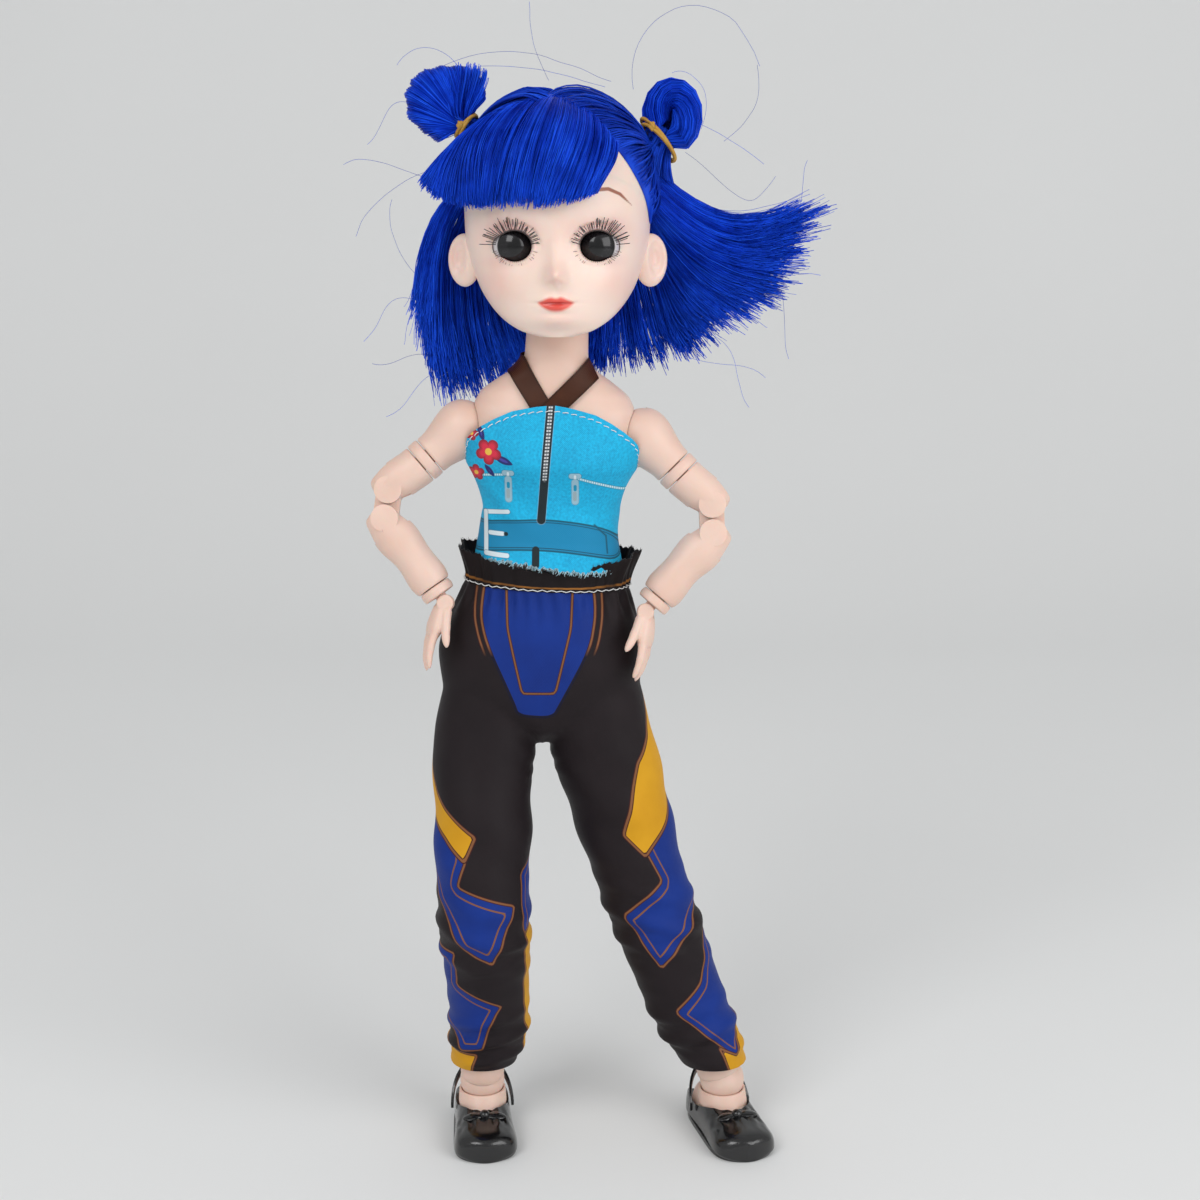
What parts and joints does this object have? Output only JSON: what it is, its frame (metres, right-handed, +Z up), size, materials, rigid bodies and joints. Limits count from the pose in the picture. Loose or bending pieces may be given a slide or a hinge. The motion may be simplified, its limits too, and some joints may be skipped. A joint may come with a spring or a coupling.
{
  "type": "fashion doll",
  "caption": "Ball-jointed fashion doll with blue hair in two high buns, halter top, long trousers and slip-on shoes, standing with both hands by the hips.",
  "frame": {"origin": "on the ground plane, in the middle of the standing doll's outline seen from above", "axes": "+Z up along the doll, which faces -Y and has its own left side at +X"},
  "size_m": [0.119, 0.0614, 0.3036],
  "materials": {
    "body_plastic": "satin, flesh coloured",
    "head_vinyl": "soft vinyl, painted face",
    "eye": "glossy, white round a dark iris",
    "lashes": "dull dark brown",
    "hair": "royal blue fibre with a sheen",
    "hair_elastic": "dull mustard",
    "turquoise_cloth": "satin, printed",
    "brown_satin": "satin ribbon",
    "black_satin": "satin with printed panels",
    "black_vinyl": "glossy"
  },
  "bodies": {
    "pelvis": {"lower_torso": "body_plastic", "trousers": "black_satin"},
    "waist": {"waist_ball": "body_plastic"},
    "chest": {"upper_torso": "body_plastic", "halter_top": "turquoise_cloth", "neck_ribbon": "brown_satin"},
    "neck": {"neck_knob": "body_plastic"},
    "head": {"face_shell": "head_vinyl", "scalp_cap": "head_vinyl", "eye_left": "eye", "lashes_left": "lashes", "eye_right": "eye", "lashes_right": "lashes", "hair_crown": "hair", "hair_fringe": "hair", "hair_side_left": "hair", "hair_side_right": "hair", "hair_back": "hair", "bun_left": "hair", "hair_tie_left": "hair_elastic", "bun_right": "hair", "hair_tie_right": "hair_elastic"},
    "shoulder_left": {"shoulder_ball_left": "body_plastic"},
    "arm_top_left": {"upper_arm_top_left": "body_plastic", "upper_arm_ring_left": "body_plastic"},
    "arm_left": {"upper_arm_lower_left": "body_plastic"},
    "elbow_left": {"elbow_link_left": "body_plastic"},
    "forearm_left": {"forearm_left": "body_plastic"},
    "wrist_left": {"wrist_ring_left": "body_plastic"},
    "hand_left": {"hand_left": "body_plastic"},
    "shoulder_right": {"shoulder_ball_right": "body_plastic"},
    "arm_top_right": {"upper_arm_top_right": "body_plastic", "upper_arm_ring_right": "body_plastic"},
    "arm_right": {"upper_arm_lower_right": "body_plastic"},
    "elbow_right": {"elbow_link_right": "body_plastic"},
    "forearm_right": {"forearm_right": "body_plastic"},
    "wrist_right": {"wrist_ring_right": "body_plastic"},
    "hand_right": {"hand_right": "body_plastic"},
    "hip_left": {"hip_ball_left": "body_plastic"},
    "thigh_top_left": {"thigh_upper_left": "body_plastic"},
    "thigh_left": {"thigh_lower_left": "body_plastic"},
    "knee_left": {"knee_link_left": "body_plastic"},
    "calf_left": {"calf_left": "body_plastic"},
    "ankle_left": {"ankle_ball_left": "body_plastic"},
    "foot_left": {"foot_left": "body_plastic", "shoe_left": "black_vinyl", "shoe_strap_left": "black_vinyl"},
    "hip_right": {"hip_ball_right": "body_plastic"},
    "thigh_top_right": {"thigh_upper_right": "body_plastic"},
    "thigh_right": {"thigh_lower_right": "body_plastic"},
    "knee_right": {"knee_link_right": "body_plastic"},
    "calf_right": {"calf_right": "body_plastic"},
    "ankle_right": {"ankle_ball_right": "body_plastic"},
    "foot_right": {"foot_right": "body_plastic", "shoe_right": "black_vinyl", "shoe_strap_right": "black_vinyl"}
  },
  "joints": [
    {"name": "waist_turn", "type": "hinge", "parent": "pelvis", "child": "waist", "pos_m": [-0.01031, -0.00231, 0.17914], "axis": [0.0454, 0, 0.999], "range_deg": [-30, 30], "deforming": ["halter_top"]},
    {"name": "waist_bend", "type": "hinge", "parent": "waist", "child": "chest", "pos_m": [-0.01031, -0.00231, 0.17914], "axis": [0.999, 0, -0.0454], "range_deg": [-10, 15], "deforming": ["halter_top"]},
    {"name": "neck_turn", "type": "hinge", "parent": "chest", "child": "neck", "pos_m": [-0.00786, -0.00231, 0.23308], "axis": [0.0454, 0, 0.999], "range_deg": [-60, 60], "deforming": ["hair_side_left", "hair_side_right", "hair_back"]},
    {"name": "neck_nod", "type": "hinge", "parent": "neck", "child": "head", "pos_m": [-0.00786, -0.00231, 0.23308], "axis": [0.999, 0, -0.0454], "range_deg": [-15, 8], "deforming": ["hair_side_left", "hair_side_right", "hair_back"]},
    {"name": "shoulder_swing_left", "type": "hinge", "parent": "chest", "child": "shoulder_left", "pos_m": [0.01525, -0.00231, 0.202], "axis": [0.999, 0, -0.0454], "range_deg": [-100, 45]},
    {"name": "shoulder_raise_left", "type": "hinge", "parent": "shoulder_left", "child": "arm_top_left", "pos_m": [0.01525, -0.00231, 0.202], "axis": [-0.0094, 0.9781, -0.2077], "range_deg": [-63, 6]},
    {"name": "arm_swivel_left", "type": "hinge", "parent": "arm_top_left", "child": "arm_left", "pos_m": [0.01525, -0.00231, 0.202], "axis": [-0.7003, 0.1418, 0.6996], "range_deg": [-45, 90]},
    {"name": "elbow_upper_left", "type": "hinge", "parent": "arm_left", "child": "elbow_left", "pos_m": [0.0336, -0.00602, 0.18367], "axis": [0.0094, -0.9781, 0.2077], "range_deg": [-6, 42]},
    {"name": "elbow_lower_left", "type": "hinge", "parent": "elbow_left", "child": "forearm_left", "pos_m": [0.03387, -0.00764, 0.17605], "axis": [0.0094, -0.9781, 0.2077], "range_deg": [-10, 42]},
    {"name": "wrist_turn_left", "type": "hinge", "parent": "forearm_left", "child": "wrist_left", "pos_m": [0.01931, -0.01131, 0.15943], "axis": [0.65, 0.1638, 0.7421], "range_deg": [-60, 30]},
    {"name": "wrist_bend_left", "type": "hinge", "parent": "wrist_left", "child": "hand_left", "pos_m": [0.01573, -0.01221, 0.15534], "axis": [0.0094, -0.9781, 0.2077], "range_deg": [-28, 20]},
    {"name": "shoulder_swing_right", "type": "hinge", "parent": "chest", "child": "shoulder_right", "pos_m": [-0.0337, -0.00231, 0.20423], "axis": [0.999, 0, -0.0454], "range_deg": [-100, 45]},
    {"name": "shoulder_raise_right", "type": "hinge", "parent": "shoulder_right", "child": "arm_top_right", "pos_m": [-0.0337, -0.00231, 0.20423], "axis": [-0.0094, 0.9781, -0.2077], "range_deg": [-6, 63]},
    {"name": "arm_swivel_right", "type": "hinge", "parent": "arm_top_right", "child": "arm_right", "pos_m": [-0.0337, -0.00231, 0.20423], "axis": [0.7609, 0.1418, 0.6332], "range_deg": [-90, 45]},
    {"name": "elbow_upper_right", "type": "hinge", "parent": "arm_right", "child": "elbow_right", "pos_m": [-0.05363, -0.00602, 0.18763], "axis": [-0.0094, 0.9781, -0.2077], "range_deg": [-15, 42]},
    {"name": "elbow_lower_right", "type": "hinge", "parent": "elbow_right", "child": "forearm_right", "pos_m": [-0.05459, -0.00764, 0.18007], "axis": [-0.0094, 0.9781, -0.2077], "range_deg": [-15, 42]},
    {"name": "wrist_turn_right", "type": "hinge", "parent": "forearm_right", "child": "wrist_right", "pos_m": [-0.04159, -0.01131, 0.16219], "axis": [-0.5801, 0.1638, 0.7979], "range_deg": [-60, 60]},
    {"name": "wrist_bend_right", "type": "hinge", "parent": "wrist_right", "child": "hand_right", "pos_m": [-0.0384, -0.01221, 0.1578], "axis": [-0.0094, 0.9781, -0.2077], "range_deg": [-45, 15]},
    {"name": "hip_swing_left", "type": "hinge", "parent": "pelvis", "child": "hip_left", "pos_m": [0.00041, -0.00231, 0.1286], "axis": [0.999, 0, -0.0454], "range_deg": [-75, 15], "deforming": ["trousers"]},
    {"name": "hip_spread_left", "type": "hinge", "parent": "hip_left", "child": "thigh_top_left", "pos_m": [0.00041, -0.00231, 0.1286], "axis": [0, 1, 0], "range_deg": [-20, 15], "deforming": ["trousers"]},
    {"name": "thigh_swivel_left", "type": "hinge", "parent": "thigh_top_left", "child": "thigh_left", "pos_m": [0.00041, -0.00231, 0.1286], "axis": [-0.319, 0, 0.9478], "range_deg": [-30, 30], "deforming": ["trousers"]},
    {"name": "knee_upper_left", "type": "hinge", "parent": "thigh_left", "child": "knee_left", "pos_m": [0.01811, -0.00231, 0.076], "axis": [0.9478, 0, 0.319], "range_deg": [0, 60], "deforming": ["trousers"]},
    {"name": "knee_lower_left", "type": "hinge", "parent": "knee_left", "child": "calf_left", "pos_m": [0.02117, -0.00231, 0.0669], "axis": [0.9478, 0, 0.319], "range_deg": [0, 60], "deforming": ["trousers"]},
    {"name": "ankle_pitch_left", "type": "hinge", "parent": "calf_left", "child": "ankle_left", "pos_m": [0.03887, -0.00231, 0.0143], "axis": [0.9563, 0.2924, 0], "range_deg": [-15, 25], "deforming": ["shoe_strap_left"]},
    {"name": "ankle_roll_left", "type": "hinge", "parent": "ankle_left", "child": "foot_left", "pos_m": [0.03887, -0.00231, 0.0143], "axis": [-0.2924, 0.9563, 0], "range_deg": [-8, 8], "deforming": ["shoe_strap_left"]},
    {"name": "hip_swing_right", "type": "hinge", "parent": "pelvis", "child": "hip_right", "pos_m": [-0.02557, -0.00231, 0.12978], "axis": [0.999, 0, -0.0454], "range_deg": [-55, 30], "deforming": ["trousers"]},
    {"name": "hip_spread_right", "type": "hinge", "parent": "hip_right", "child": "thigh_top_right", "pos_m": [-0.02557, -0.00231, 0.12978], "axis": [-0.0135, 0.9549, -0.2965], "range_deg": [-5, 35], "deforming": ["trousers"]},
    {"name": "thigh_swivel_right", "type": "hinge", "parent": "thigh_top_right", "child": "thigh_right", "pos_m": [-0.02557, -0.00231, 0.12978], "axis": [0.0433, 0.2968, 0.954], "range_deg": [-30, 30], "deforming": ["trousers"]},
    {"name": "knee_upper_right", "type": "hinge", "parent": "thigh_right", "child": "knee_right", "pos_m": [-0.02797, -0.01878, 0.07684], "axis": [0.999, 0, -0.0454], "range_deg": [-17, 43], "deforming": ["trousers"]},
    {"name": "knee_lower_right", "type": "hinge", "parent": "knee_right", "child": "calf_right", "pos_m": [-0.0284, -0.01878, 0.06724], "axis": [0.999, 0, -0.0454], "range_deg": [-17, 43], "deforming": ["trousers"]},
    {"name": "ankle_pitch_right", "type": "hinge", "parent": "calf_right", "child": "ankle_right", "pos_m": [-0.03081, -0.00231, 0.0143], "axis": [0.9945, 0.1045, 0], "range_deg": [-15, 25], "deforming": ["shoe_strap_right"]},
    {"name": "ankle_roll_right", "type": "hinge", "parent": "ankle_right", "child": "foot_right", "pos_m": [-0.03081, -0.00231, 0.0143], "axis": [-0.1045, 0.9945, 0], "range_deg": [-8, 8], "deforming": ["shoe_strap_right"]}
  ]
}
